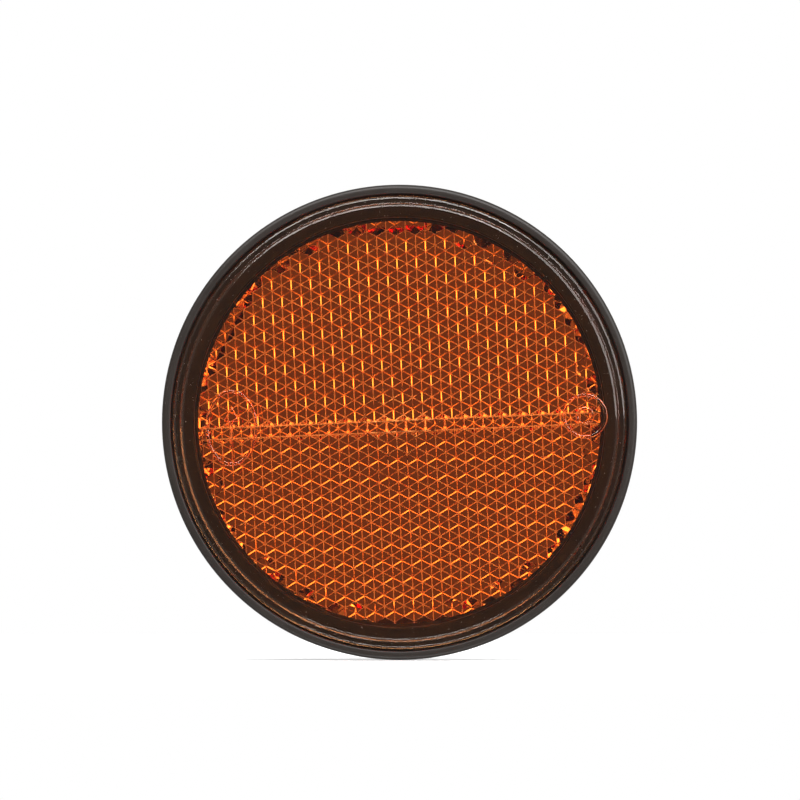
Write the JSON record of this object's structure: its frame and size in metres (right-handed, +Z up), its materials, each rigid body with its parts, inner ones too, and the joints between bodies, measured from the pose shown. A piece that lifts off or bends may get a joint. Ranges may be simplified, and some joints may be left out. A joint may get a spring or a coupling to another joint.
{
  "type": "round reflex reflector",
  "caption": "Round amber reflex reflector: clear lens with cube-corner prisms in a black housing, with a rear threaded stud, nut, washers and a foam gasket.",
  "frame": {"origin": "centre of the mounting plane, which is the back face of the gasket, on the stud's axis", "axes": "+Y is along the stud, away from the lens; the lens faces -Y; +Z is up, as the arrow on the lens shows; +X is to the right seen from the front"},
  "size_m": [0.06, 0.0227, 0.06],
  "materials": {
    "amber_lens": "clear amber acrylic, polished",
    "black_housing": "moulded black ABS, satin",
    "foam_gasket": "closed-cell foam rubber, matte",
    "zinc_steel": "bright zinc plating",
    "seal_rubber": "nitrile rubber, satin",
    "spring_steel": "zinc-plated spring steel"
  },
  "bodies": {
    "reflector": {"lens": "amber_lens", "housing": "black_housing", "base_gasket": "foam_gasket", "stud": "zinc_steel", "stud_seal": "seal_rubber"},
    "washers": {"flat_washer": "zinc_steel", "lock_washer": "spring_steel"},
    "nut": {"hex_nut": "zinc_steel"}
  },
  "joints": [
    {"name": "washer_slide", "type": "slide", "parent": "reflector", "child": "washers", "axis": [0, 1, 0], "range_m": [0, 0.0096]},
    {"name": "nut_spin", "type": "hinge", "parent": "washers", "child": "nut", "pos_m": [0, 0, 0], "axis": [0, 1, 0], "range_deg": [0, 4320]}
  ],
  "couplings": [
    {"joint": "nut_spin", "follows": "washer_slide", "rad_per_m": 7853.9}
  ]
}
